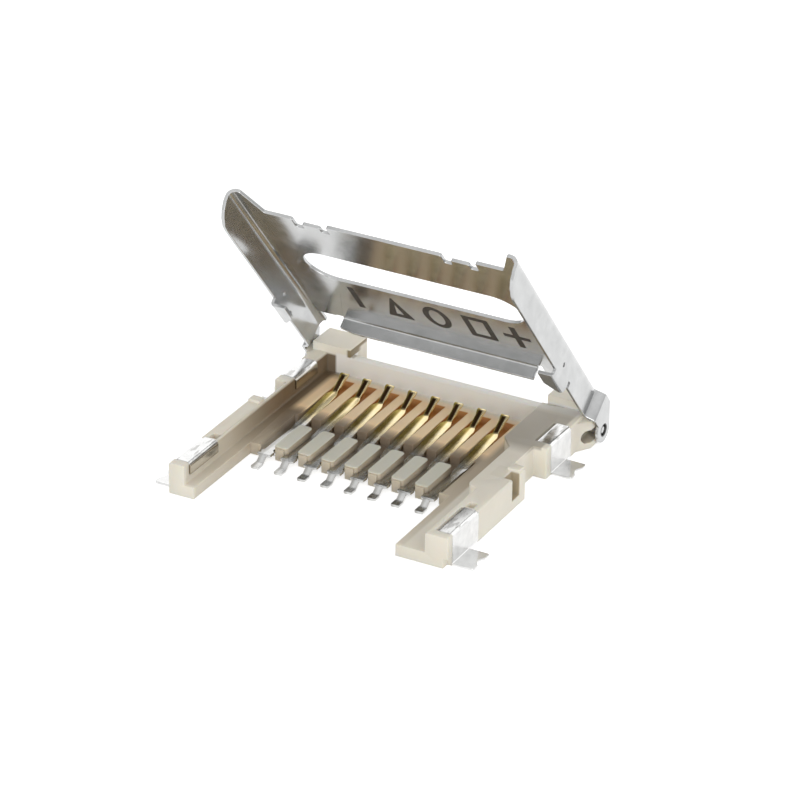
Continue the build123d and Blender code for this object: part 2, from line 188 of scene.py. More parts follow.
# Rounding of the cut edges, and how near to each other points of a flat blank are welded
cover_edge, strip_edge, housing_edge = 0.022, 0.016, 0.02
cover_weld, strip_weld, mark_weld = 0.012, 0.008, 0.002
# The turn between two points of an arc in an outline, in a strip's outline and in a bend
outline_step, strip_step, bend_step = radians(18), radians(22), radians(12)
# Edges turned by more than these angles are rounded, or shaded sharp
sheet_rounded, moulding_rounded = radians(50), radians(42)
sheet_sharp, boss_sharp = radians(20), radians(40)
# A rounded vertex is off the shape beyond this distance outside it, or this share of the rounding inside it
off_outside = 0.002
off_inside_share = 1.1
# Distance from a bend of the cuts that keep the sheet beside it flat
bend_guard = 0.06
# In the CAD shape, points nearer than this in metres are one, and faces turned by less are one flat
same_point = 1e-7
same_flat = radians(0.5)

# Camera: the photograph's viewing angle, fitted to the rail fronts on the board plane
frame_pixels = 800
camera_azimuth = radians(28.230)
camera_elevation = radians(27.416)
camera_roll = radians(0.695)
camera_distance = 168.722
camera_scale = 24.830
camera_u = 305.891
camera_v = 530.979
focal_pixels = camera_scale * camera_distance


def link(obj):
    """Put an object in the scene and hand it back."""
    bpy.context.scene.collection.objects.link(obj)
    return obj


def make_camera():
    """A camera at the photograph's viewing angle, with the rail fronts where the photograph has them."""
    a, e, r = camera_azimuth, camera_elevation, camera_roll
    back = Vector((sin(a) * cos(e), -cos(a) * cos(e), sin(e)))
    level = Vector((cos(a), sin(a), 0))
    upright = back.cross(level)
    right = level * cos(r) + upright * sin(r)
    up = -level * sin(r) + upright * cos(r)
    across = (camera_u - frame_pixels / 2) / camera_scale
    above = -(camera_v - frame_pixels / 2) / camera_scale
    eye = back * camera_distance - right * across - up * above + Vector((0, rail_front, 0))
    data = bpy.data.cameras.new("photo_camera")
    data.sensor_width = 36
    data.lens = focal_pixels / frame_pixels * data.sensor_width
    data.clip_start = 0.001
    data.clip_end = 10
    camera = link(bpy.data.objects.new("photo_camera", data))
    place = Matrix((right, up, back)).transposed().to_4x4()
    place.translation = eye * MM
    camera.matrix_world = place
    bpy.context.scene.camera = camera


class Nodes:
    """A short way to write node trees: each call adds a node, sets its values and links its inputs."""

    def __init__(self, tree):
        self.tree = tree

    def add(self, kind, values=None, **settings):
        """One node, its inputs given by name or number as values or as sockets to link."""
        node = self.tree.nodes.new(kind)
        for name, value in settings.items():
            setattr(node, name, value)
        for socket, value in (values or {}).items():
            if isinstance(value, bpy.types.NodeSocket):
                self.tree.links.new(value, node.inputs[socket])
            else:
                node.inputs[socket].default_value = value
        return node

    def place(self):
        """The place on the piece, in metres."""
        return self.add("ShaderNodeTexCoord").outputs["Object"]

    def mapped(self, place, **change):
        """A place that is turned or scaled along its axes."""
        return self.add("ShaderNodeMapping", {"Vector": place, **change}).outputs["Vector"]

    def parts(self, vector):
        """The X, Y and Z of a vector."""
        return self.add("ShaderNodeSeparateXYZ", {"Vector": vector}).outputs

    def math(self, operation, *terms):
        """The result of a sum on numbers or sockets."""
        return self.add("ShaderNodeMath", dict(enumerate(terms)), operation=operation).outputs[0]

    def measure(self, operation, one, other):
        """A number from two vectors, such as their distance."""
        return self.add("ShaderNodeVectorMath", {0: one, 1: other}, operation=operation).outputs["Value"]

    def spread(self, value, low, high, to_low=0.0, to_high=1.0):
        """A value mapped from one range to another and held inside it."""
        ends = {"From Min": low, "From Max": high, "To Min": to_low, "To Max": to_high}
        return self.add("ShaderNodeMapRange", {"Value": value, **ends}).outputs["Result"]

    def noise(self, place, scale, detail, roughness=0.5):
        """The value of a noise at a place."""
        values = {"Vector": place, "Scale": scale, "Detail": detail, "Roughness": roughness}
        return self.add("ShaderNodeTexNoise", values).outputs["Fac"]

    def bump(self, height, strength, distance, **below):
        """A normal bent by a height, on top of the normal below it where one is given."""
        values = {"Height": height, "Strength": strength, "Distance": distance, **below}
        return self.add("ShaderNodeBump", values).outputs["Normal"]

    def mix(self, factor, under, over, blend="MIX"):
        """A colour, as a socket or as three numbers, laid over another by a factor."""
        under, over = ((*tone, 1) if isinstance(tone, tuple) else tone for tone in (under, over))
        values = {"Factor": factor, "A": under, "B": over}
        return self.add("ShaderNodeMix", values, data_type="RGBA", blend_type=blend).outputs[2]

    def ramp(self, factor, stops):
        """A colour ramp from a factor, with its stops given as position and colour."""
        node = self.add("ShaderNodeValToRGB", {"Fac": factor})
        elements = node.color_ramp.elements
        while len(elements) < len(stops):
            elements.new(0.5)
        for element, (position, colour) in zip(elements, stops):
            element.position = position
            element.color = (*colour, 1)
        return node.outputs["Color"]

    def band(self, factor, *positions):
        """White between the two middle positions of a factor, black outside the outer two."""
        return self.ramp(factor, list(zip(positions, (BLACK, WHITE, WHITE, BLACK))))

    def surface(self, values):
        """The shader of a solid material, given to its output."""
        self.finish(self.add("ShaderNodeBsdfPrincipled", values).outputs["BSDF"])

    def metal(self, colour, share, roughness, normal):
        """The shader of a metal, given to its output."""
        self.surface({"Base Color": colour, "Metallic": share, "Roughness": roughness, "Normal": normal})

    def finish(self, shader):
        """A shader, given to the material's output."""
        self.add("ShaderNodeOutputMaterial", {"Surface": shader})


def new_material(name):
    """An empty material and the tree to write its nodes in."""
    material = bpy.data.materials.new(name)
    material.use_nodes = True
    material.node_tree.nodes.clear()
    return material, Nodes(material.node_tree)


# Painted shade and painted light on the resin: a box in millimetres, how soft each axis ends, and the tint.
# No softness means the common one, its painted shade growing from its share at the front to full at the
# rear.
common_softness = (0.12, 0.12, 0.12)
growth_front, growth_rear, growth_share = -8, 2, 0.2
resin_painted_light_boxes = [
    # Painted shade inside the housing, deepening towards the rear under the cover
    (((-5.9, 4.42), (-7.85, 3.3), (0.0, 1.36)), None, (0.37, 0.28, 0.17)),
    # Painted shade on the inner face of the left wall towards the rear
    (((-5.9, -4.7), (-2.0, 6.0), (0.3, 1.38)), (0.3, 4.5, 0.1), (0.16, 0.11, 0.06)),
    # Painted warm light, as reflected from the gold, on the floor between the contacts
    (((-5.3, 3.95), (0.2, 3.6), (0.47, 0.58)), (0.3, 0.6, 0.03), (0.92, 0.68, 0.42)),
    # Painted shade, dark brown, low in the pit behind the pads
    (((-5.2, 3.75), (-1.6, 0.1), (0.0, 0.58)), (0.3, 0.9, 0.04), (0.20, 0.15, 0.10)),
    # Pad tops: a lighter, grey-green painted shade in place of the darker painted shade around them
    (((-5.3, 3.9), (-3.4, -0.8), (0.565, 0.65)), (0.1, 0.1, 0.02), (0.66, 0.645, 0.55)),
    # Painted shade, warmed as by reflected gold light, deep in the pockets at the contact tips
    (((-4.8, 3.75), (1.6, 4.2), (0.0, 0.51)), (0.1, 0.8, 0.04), (0.60, 0.27, 0.07)),
    # Painted light on the front of the rear wall: lighter and greyer, as lit by the steel cover's
    # reflection
    (((-5.3, 6.3), (3.80, 4.6), (0.56, 1.5)), (0.1, 0.1, 0.1), (0.80, 0.785, 0.74)),
    # Painted shade on the side of the raised left rear block that faces the contacts
    (((-4.75, -4.45), (3.0, 5.4), (1.42, 1.76)), (0.1, 0.1, 0.05), (0.22, 0.17, 0.09)),
    # Painted shadow of the cover on the top of the right wall towards the rear
    (((4.4, 6.2), (0.2, 3.9), (1.3, 1.5)), (0.1, 0.8, 0.1), (0.45, 0.41, 0.34)),
    # Painted shade in the recess in the right wall
    (((5.4, 6.40), (-2.43, -1.5), (0.1, 1.38)), (0.05, 0.05, 0.1), (0.40, 0.33, 0.22)),
    # Painted shade on the right side under the cover's arm, beside the hinge
    (((6.35, 7.4), (3.75, 5.05), (0.30, 0.85)), (0.1, 0.06, 0.06), (0.20, 0.14, 0.08)),
    # Painted shade on the left side under the cover's arm, beside the hinge
    (((-7.4, -6.35), (3.75, 5.05), (0.30, 0.85)), (0.1, 0.06, 0.06), (0.20, 0.14, 0.08)),
    # Back of the left rear block: plain resin colour again, which keeps the painted shade above off it
    (((-6.3, -4.3), (4.75, 5.6), (-0.1, 1.6)), (0.1, 0.3, 0.1), (0.795, 0.748, 0.64)),
]


def box_share(nodes, parts, spans, soft):
    """A share that is 1 within a box given in millimetres and falls softly to 0 at its faces."""
    share = None
    for axis, (low, high), blur in zip("XYZ", spans, soft):
        for edge, side in ((low, 1), (high, -1)):
            part = nodes.spread(parts[axis], (edge - side * blur / 2) * MM, (edge + side * blur / 2) * MM)
            share = part if share is None else nodes.math("MULTIPLY", share, part)
    return share


def resin_material():
    """Cream moulding resin with faint flow clouds and a fine grain, under painted shade and painted light
    by place.
    """
    material, nodes = new_material("housing_resin")
    place = nodes.place()
    parts = nodes.parts(place)
    cloud = nodes.noise(place, 420.0, 4.0)
    grain = nodes.noise(place, 14000.0, 3.0)
    colour = nodes.ramp(cloud, [(0.3, (0.76, 0.71, 0.60)), (0.7, (0.83, 0.785, 0.68))])
    # The painted shade inside the housing grows towards the rear; each box lays its painted shade or light
    # over the resin
    rearwards = nodes.spread(parts["Y"], growth_front * MM, growth_rear * MM, growth_share)
    for spans, soft, tint in resin_painted_light_boxes:
        share = box_share(nodes, parts, spans, soft or common_softness)
        if soft is None:
            share = nodes.math("MULTIPLY", share, rearwards)
        colour = nodes.mix(share, colour, tint)
    nodes.surface(
        {
            "Base Color": colour,
            "Roughness": nodes.spread(grain, 0.0, 1.0, 0.38, 0.58),
            "Normal": nodes.bump(grain, 0.25, 0.000006),
            "Subsurface Weight": 0.25,
            "Subsurface Radius": (0.0006, 0.0004, 0.0002),
            "Subsurface Scale": 1.0,
        }
    )
    return material


# Painted shade ring in the dimples of the bosses: its inner and outer fades as shares of a distance in
# millimetres
dimple_shade_reach = 0.4
dimple_shade_ring = (0.33, 0.43, 0.70, 0.78)
dimple_shade_fade = 0.02


def cover_steel_material():
    """Bright rolled stainless sheet: fine lines along it, faint scuffs, and painted shade in the dimples.
    """
    material, nodes = new_material("cover_steel")
    place = nodes.place()
    parts = nodes.parts(place)
    turned = nodes.mapped(place, Rotation=(open_angle, 0, 0))
    lines = nodes.noise(nodes.mapped(turned, Scale=(1.0, 0.04, 1.0)), 9000.0, 4.0)
    scuffs = nodes.noise(place, 900.0, 6.0, 0.65)
    waves = nodes.noise(place, 170.0, 1.0)
    colour = nodes.ramp(scuffs, [(0.32, (0.43, 0.435, 0.435)), (0.68, (0.54, 0.545, 0.545))])
    wave = nodes.bump(waves, 0.08, 0.00003)
    # Painted shade: a near-black ring round the hinge line, in the dimples outside the arms' inner faces
    radial = nodes.add("ShaderNodeCombineXYZ", {"Y": parts["Y"], "Z": parts["Z"]}).outputs[0]
    pivot = (0, pivot_y * MM, pivot_z * MM)
    from_pivot = nodes.measure("DISTANCE", radial, pivot)
    ring = nodes.band(nodes.spread(from_pivot, 0.0, dimple_shade_reach * MM), *dimple_shade_ring)
    inner_face = arm_line - cover_sheet / 2
    outwards = nodes.math("ABSOLUTE", parts["X"])
    sunken = nodes.spread(outwards, (inner_face - dimple_shade_fade) * MM, (inner_face + dimple_shade_fade) * MM)
    dimple_shaded = nodes.mix(nodes.math("MULTIPLY", ring, sunken), colour, (0.05, 0.05, 0.048))
    bump = nodes.bump(lines, 0.18, 0.000003, Normal=wave)
    nodes.metal(dimple_shaded, 0.9, nodes.spread(scuffs, 0.0, 1.0, 0.08, 0.26), bump)
    return material


# Tin of the tabs: the heights between which scuffs set in, how strong they are, and where painted shade
# covers an inner leg, across from the wall inwards and down from the wall's top
scuff_low, scuff_high = 1.30, 1.38
scuff_strength = 0.45
leg_outer, leg_inner = 5.90, 5.74
leg_high, leg_low = 1.38, 1.28


def tin_material():
    """Tin plating: bright and slightly mottled, scuffed on top of the walls, with painted shade on the
    inner legs.
    """
    material, nodes = new_material("tab_tin")
    place = nodes.place()
    parts = nodes.parts(place)
    mottle = nodes.noise(place, 2600.0, 5.0)
    colour = nodes.ramp(mottle, [(0.3, (0.58, 0.58, 0.575)), (0.7, (0.68, 0.68, 0.675))])
    wear = nodes.noise(nodes.mapped(place, Scale=(1.0, 0.3, 1.0)), 5200.0, 3.0)
    scuffed = nodes.ramp(wear, [(0.52, BLACK), (0.60, WHITE)])
    top = nodes.spread(parts["Z"], scuff_low * MM, scuff_high * MM)
    scuffs = nodes.math("MULTIPLY", nodes.math("MULTIPLY", scuffed, top), scuff_strength)
    colour = nodes.mix(scuffs, colour, (0.20, 0.195, 0.18))
    # Painted shade on the inner legs, low down inside the wall
    inner = nodes.spread(nodes.math("ABSOLUTE", parts["X"]), leg_outer * MM, leg_inner * MM)
    low = nodes.spread(parts["Z"], leg_high * MM, leg_low * MM)
    colour = nodes.mix(nodes.math("MULTIPLY", inner, low), colour, (0.34, 0.30, 0.23))
    bump = nodes.bump(mottle, 0.10, 0.000006)
    nodes.metal(colour, 1.0, nodes.spread(mottle, 0.0, 1.0, 0.14, 0.28), bump)
    return material


# Along Y, the plating of a contact turns from tin to gold behind the pads
plating_start = -0.6
plating_end = 0.3
# Colours of the tin and the gold, each with the painted shade that darkens the left half of a contact, and
# where across it, as shares of the pitch, that painted shade ends
shade_across = (0.43, 0.51)
tin_plate_and_shade = ([(0.3, (0.50, 0.50, 0.49)), (0.7, (0.62, 0.62, 0.61))], (0.70, 0.69, 0.67))
gold_plate_and_shade = ([(0.3, (0.78, 0.63, 0.33)), (0.7, (0.86, 0.75, 0.48))], (0.42, 0.38, 0.18))
# Painted neck shade: across the contact as shares of the pitch, and along Y as shares of a length in
# millimetres
neck_shade_across = (0.40, 0.43, 0.56, 0.59)
neck_shade_length = 4.0
neck_shade_along = (0.56, 0.59, 0.76, 0.78)


def contact_material():
    """Gold on the spring, tin on the tail, and painted shade on each left half and along each raised neck.
    """
    material, nodes = new_material("contact_plating")
    place = nodes.place()
    parts = nodes.parts(place)
    share = nodes.spread(parts["Y"], plating_start * MM, plating_end * MM)
    mottle = nodes.noise(place, 3000.0, 4.0)
    per_metre = 1 / (contact_pitch * MM)
    counted = nodes.math("MULTIPLY_ADD", parts["X"], per_metre, -contact_row_centre / contact_pitch)
    within = nodes.math("FRACT", counted)
    plates = []
    # Painted shade on the left half of each contact, on tin and gold alike
    for stops, dark in (tin_plate_and_shade, gold_plate_and_shade):
        shade = nodes.ramp(within, list(zip(shade_across, (dark, WHITE))))
        plates.append(nodes.mix(1.0, nodes.ramp(mottle, stops), shade, "MULTIPLY"))
    plated = nodes.mix(share, *plates)
    # Painted shade, near black, along the middle of the raised neck
    stripe = nodes.band(within, *neck_shade_across)
    neck = nodes.band(nodes.spread(parts["Y"], 0.0, neck_shade_length * MM), *neck_shade_along)
    colour = nodes.mix(nodes.math("MULTIPLY", stripe, neck), plated, (0.05, 0.025, 0.01))
    bump = nodes.bump(mottle, 0.2, 0.000008)
    nodes.metal(colour, 1.0, nodes.spread(mottle, 0.0, 1.0, 0.12, 0.28), bump)
    return material


def ink_material():
    """Dark marking ink with a fine speckle."""
    material, nodes = new_material("marking_ink")
    speckle = nodes.noise(nodes.place(), 9000.0, 3.0)
    colour = nodes.ramp(speckle, [(0.3, (0.012, 0.011, 0.010)), (0.75, (0.07, 0.06, 0.05))])
    nodes.surface({"Base Color": colour, "Roughness": 0.55})
    return material


# Studio, in metres: how bright the floor is to the camera, how much more to the metal, and its size
floor_shown = 0.62
floor_mirrored = 1.2
floor_size = 0.6
floor_drop = 0.00001
# Room light: its bright side, how far a direction points there when dim and when bright, the backdrop
# behind, and the gain that the metal sees
room_side = (0.15, -0.60, 0.50)
room_span = (-0.6, 0.8)
room_dim, room_bright = 0.22, 0.80
backdrop_span = (0.40, 0.8)
backdrop_bright = 0.75
room_gain = 0.55
# Soft lamps: name, place and power, all of one size and turned to the middle of the object
softbox_size = 0.16
softbox_target = (0, 0, 0.003)
softboxes = [
    ("front_softbox", (0.02, -0.30, 0.055), 0.12),
    ("right_softbox", (0.23, -0.19, 0.055), 0.27),
]


def floor_material():
    """A pale floor, near white to the camera and a little brighter to the metal, that keeps the shadow."""
    material, nodes = new_material("floor_paper")
    path = nodes.add("ShaderNodeLightPath").outputs
    other = nodes.math("MAXIMUM", path["Is Glossy Ray"], path["Is Transmission Ray"])
    seen = nodes.math("MAXIMUM", path["Is Camera Ray"], nodes.math("MULTIPLY", other, floor_mirrored))
    strength = nodes.math("MULTIPLY", seen, floor_shown)
    glow = nodes.add("ShaderNodeEmission", {"Color": (1, 1, 1, 1), "Strength": strength})
    matte = nodes.add("ShaderNodeBsdfDiffuse", {"Color": (0.82, 0.82, 0.82, 1)})
    nodes.finish(nodes.add("ShaderNodeAddShader", {0: glow.outputs[0], 1: matte.outputs[0]}).outputs[0])
    return material


def make_floor():
    """The paper under the object, just below the board plane."""
    bm = bmesh.new()
    bmesh.ops.create_grid(bm, x_segments=1, y_segments=1, size=floor_size)
    mesh = bpy.data.meshes.new("floor")
    bm.to_mesh(mesh)
    bm.free()
    floor = link(bpy.data.objects.new("floor", mesh))
    floor.location.z = -floor_drop
    mesh.materials.append(floor_material())


def make_world():
    """An even studio: white where the camera looks, soft grey as light on the object."""
    world = bpy.data.worlds.new("studio")
    bpy.context.scene.world = world
    world.use_nodes = True
    world.node_tree.nodes.clear()
    nodes = Nodes(world.node_tree)
    path = nodes.add("ShaderNodeLightPath").outputs
    place = nodes.add("ShaderNodeTexCoord").outputs["Generated"]
    towards = nodes.measure("DOT_PRODUCT", place, room_side)
    room = nodes.spread(towards, *room_span, room_dim, room_bright)
    backdrop = nodes.spread(nodes.parts(place)["Y"], *backdrop_span, 0.0, backdrop_bright)
    gain = nodes.math("MULTIPLY_ADD", path["Is Glossy Ray"], room_gain, 1.0)
    level = nodes.math("MULTIPLY", nodes.math("ADD", room, backdrop), gain)
    around = nodes.add("ShaderNodeBackground", {"Color": (1, 1, 1, 1), "Strength": level}).outputs[0]
    white = nodes.add("ShaderNodeBackground", {"Color": (1, 1, 1, 1), "Strength": 1.0}).outputs[0]
    mixed = nodes.add("ShaderNodeMixShader", {0: path["Is Camera Ray"], 1: around, 2: white}).outputs[0]
    nodes.add("ShaderNodeOutputWorld", {"Surface": mixed})


def make_lights():
    """The square soft lamps, each turned towards the object."""
    for name, place, power in softboxes:
        data = bpy.data.lights.new(name, "AREA")
        data.size = softbox_size
        data.energy = power
        lamp = link(bpy.data.objects.new(name, data))
        lamp.location = place
        direction = Vector(softbox_target) - Vector(place)
        lamp.rotation_euler = direction.to_track_quat("-Z", "Y").to_euler()


def corner_arc(before, here, after, radius, step):
    """The points that round a corner between its neighbours, or the corner itself where it stays sharp."""
    before = (before - here).normalized()
    after = (after - here).normalized()
    opening = acos(max(-1.0, min(1.0, before.dot(after))))
    if radius <= 0 or abs(opening - pi) < 1e-3:
        return [here]
    reach = radius / tan(opening / 2)
    centre = here + (before + after).normalized() * (radius / sin(opening / 2))
    first = here + before * reach - centre
    last = here + after * reach - centre
    turn = atan2(first.cross(last), first.dot(last))
    parts = max(2, round(abs(turn) / step))
    return [centre + Matrix.Rotation(turn * k / parts, 2) @ first for k in range(parts + 1)]


def rounded(corners, step=outline_step):
    """A closed outline from corners given as u, v and radius, each corner turned into an arc."""
    places = [Vector(corner[:2]) for corner in corners]
    points = []
    for i, corner in enumerate(corners):
        after = places[(i + 1) % len(places)]
        points += corner_arc(places[i - 1], places[i], after, corner[2], step)
    return points


def oval(u, v, across, along, parts):
    """A closed outline from the middle and the two half widths of an oval."""
    turns = [2 * pi * k / parts for k in range(parts)]
    return [(u + across * cos(turn), v + along * sin(turn)) for turn in turns]


def mirrored(half):
    """A closed outline from its right half, with u turned to minus u for the left half."""
    return half + [(-corner[0], *corner[1:]) for corner in reversed(half)]


def flat_blank(outline, holes, cuts, weld):
    """A flat blank, filled inside its outline, with straight cuts at the given u and v values."""
    bm = bmesh.new()
    edges = []
    for loop in [outline] + holes:
        verts = [bm.verts.new((u, v, 0)) for u, v in loop]
        edges += [bm.edges.new(pair) for pair in zip(verts, verts[1:] + verts[:1])]
    bmesh.ops.triangle_fill(bm, use_beauty=True, use_dissolve=False, edges=edges, normal=(0, 0, 1))
    for axis, values in zip(((1, 0, 0), (0, 1, 0)), cuts):
        for value in values:
            geom = bm.verts[:] + bm.edges[:] + bm.faces[:]
            bmesh.ops.bisect_plane(bm, geom=geom, plane_co=Vector(axis) * value, plane_no=axis)
    bmesh.ops.remove_doubles(bm, verts=bm.verts, dist=weld)
    return bm


def bend_cuts(start, length, parts):
    """Evenly spaced cuts from the start of a bend to its end."""
    return [start + length * k / parts for k in range(parts + 1)]


def formed(name, bm, place, thickness, edge, material, body, repeat=None):
    """A blank formed to its place in space, given its thickness and rounded along its cut edges."""
    for vert in bm.verts:
        vert.co = Vector(place(vert.co.x, vert.co.y)) * MM
    mesh = bpy.data.meshes.new(name)
    bm.to_mesh(mesh)
    bm.free()
    return thickened(name, mesh, thickness, edge, material, body, repeat)


def settle(mesh, unrounded, edge):
    """Vertices that a tight corner has thrown off the shape go back to a neighbour that is on it."""
    off = set()
    for vert in mesh.vertices:
        near, normal, _, distance = unrounded.find_nearest(vert.co)
        outside = (vert.co - near).dot(normal) > 0
        if distance > (off_outside if outside else off_inside_share * edge) * MM:
            off.add(vert.index)
    linked = {index: [] for index in off}
    for a, b in (mesh_edge.vertices for mesh_edge in mesh.edges):
        for one, other in ((a, b), (b, a)):
            if one in linked:
                linked[one].append(other)
    while off:
        settled = {}
        for index in sorted(off):
            here = mesh.vertices[index].co
            good = [mesh.vertices[other].co for other in linked[index] if other not in off]
            if good:
                settled[index] = min(good, key=lambda co: (co - here).length).copy()
        if not settled:
            break
        for index, co in settled.items():
            mesh.vertices[index].co = co
        off -= set(settled)
    mesh.update()


def thickened(name, mesh, thickness, edge, material, body, repeat=None):
    """A finished piece from a draft mesh: stock thickness, rounded edges, and copies by a repeat tree."""
    draft = link(bpy.data.objects.new(name + "_draft", mesh))
    if thickness:
        solid = draft.modifiers.new("stock", "SOLIDIFY")
        solid.thickness = thickness * MM
        solid.offset = 0
        solid.use_even_offset = True
    bevel = draft.modifiers.new("edge", "BEVEL")
    bevel.width = edge * MM
    bevel.segments = 2
    bevel.limit_method = "ANGLE"
    bevel.angle_limit = sheet_rounded if thickness else moulding_rounded
    bevel.use_clamp_overlap = False
    bevel.loop_slide = False
    bevel.miter_outer = "MITER_ARC"
    bevel.face_strength_mode = "FSTR_ALL"
    if repeat:
        tree, values = repeat
        row = draft.modifiers.new("row", "NODES")
        row.node_group = tree
        for item in tree.interface.items_tree:
            if item.item_type == "SOCKET" and item.name in values:
                row[item.identifier] = values[item.name]
    if not thickness:
        normals = draft.modifiers.new("normals", "WEIGHTED_NORMAL")
        normals.use_face_influence = True
        normals.keep_sharp = True
    for polygon in mesh.polygons:
        polygon.use_smooth = True
    bevel.show_viewport = False
    depsgraph = bpy.context.evaluated_depsgraph_get()
    unrounded = BVHTree.FromObject(draft, depsgraph)
    bevel.show_viewport = True
    depsgraph = bpy.context.evaluated_depsgraph_get()
    done = bpy.data.meshes.new_from_object(draft.evaluated_get(depsgraph), depsgraph=depsgraph)
    done.name = name
    settle(done, unrounded, edge)
    if thickness:
        done.set_sharp_from_angle(angle=sheet_sharp)
    bpy.data.objects.remove(draft)
    piece = link(bpy.data.objects.new(name, done))
    done.materials.clear()
    done.materials.append(material)
    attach(piece, body)
    return piece


def bent_path(corners):
    """The points of a path of straight runs and arcs, and the length along it at each of them."""
    places = [Vector(corner[:2]) for corner in corners]
    points = places[:1]
    for i, corner in enumerate(corners[1:-1], 1):
        points += corner_arc(*places[i - 1 : i + 2], corner[2], bend_step)
    points.append(places[-1])
    stations = [0.0]
    for a, b in zip(points, points[1:]):
        stations.append(stations[-1] + (b - a).length)
    return points, stations


def point_at(points, stations, s):
    """The point at a length along a path, running straight on past its ends."""
    k = 1
    while k < len(stations) - 1 and s > stations[k]:
        k += 1
    share = (s - stations[k - 1]) / (stations[k] - stations[k - 1])
    return points[k - 1].lerp(points[k], share)


def length_to(path, axis, value):
    """The length along a path at which one of its coordinates first reaches a value."""
    points, stations = path
    for a, b, start, end in zip(points, points[1:], stations, stations[1:]):
        low, high = sorted((a[axis], b[axis]))
        if low <= value <= high and high > low:
            return start + (end - start) * (value - a[axis]) / (b[axis] - a[axis])
    return stations[-1]


def opened(x, reach, height):
    """A place on the closed cover, given forward of and above the hinge line, with the cover swung open."""
    y, z = -reach, height
    return (
        x,
        pivot_y + y * cos(open_angle) + z * sin(open_angle),
        pivot_z - y * sin(open_angle) + z * cos(open_angle),
    )


# Lengths across the developed cover sheet, from its middle to the lower edge of a flange
side_line = cover_half - cover_sheet / 2
bend_start = side_line - fold_radius
bend_length = fold_radius * pi / 2
flange_start = bend_start + bend_length
flange_top = plate_height - fold_radius
flange_end = flange_start + flange_top + flange_drop
# The inward tab below a flange: a straight run, a quarter bend, and the level rest that starts here
tab_straight = tab_drop - cover_sheet / 2 - tab_fold
tab_turned = flange_end + tab_straight + tab_fold * pi / 2
# The rear lip turns down through a quarter bend
lip_line = lip_back + cover_sheet / 2
lip_turn_start = lip_line + lip_bend
lip_bend_end = lip_turn_start - lip_bend * pi / 2


def flange_u(height):
    """The developed length across the sheet to a height on the flange."""
    return flange_start + flange_top - height


def joggle(reach):
    """How far, from 0 to 1, the arm has stepped out from the flange at a distance forward of the hinge."""
    t = (joggle_start - reach) / (joggle_start - joggle_end)
    t = max(0.0, min(1.0, t))
    return t * t * (3 - 2 * t)


def cover_place(u, v):
    """The formed place of a point on the developed cover sheet: u across it, v forward of the hinge."""
    side = 1 if u >= 0 else -1
    across = abs(u)
    if across <= bend_start:
        if across < (lip_right if u > 0 else lip_left) + lip_margin and v < lip_turn_start:
            return opened(u, *lip_place(v))
        return opened(u, v, plate_height)
    angle = min(across - bend_start, bend_length) / fold_radius
    x = bend_start + fold_radius * sin(angle)
    height = flange_top + fold_radius * cos(angle)
    arm_height = flange_top - (across - flange_start)
    if across > flange_start:
        height = arm_height
    if v > joggle_start + inward_clearance and across > flange_end:
        x, height = inward_place(across - flange_end)
    stepped = joggle(v)
    x += (arm_line - x) * stepped
    height += (arm_height - height) * stepped
    return opened(side * x, v, height)


def lip_place(v):
    """Where a point behind the start of the lip's bend goes: forward distance and height."""
    along = lip_turn_start - v
    quarter = lip_bend * pi / 2
    if along < quarter:
        angle = along / lip_bend
        return lip_turn_start - lip_bend * sin(angle), plate_height - lip_bend * (1 - cos(angle))
    return lip_line, plate_height - lip_bend - (along - quarter)


def inward_place(below):
    """The inward tab below a flange: straight down, a quarter bend and then level, inwards."""
    if below <= tab_straight:
        return side_line, -flange_drop - below
    lower = -flange_drop - tab_straight
    turned = below - tab_straight
    quarter = tab_fold * pi / 2
    if turned < quarter:
        angle = turned / tab_fold
        return side_line - tab_fold * (1 - cos(angle)), lower - tab_fold * sin(angle)
    return side_line - tab_fold - (turned - quarter), lower - tab_fold


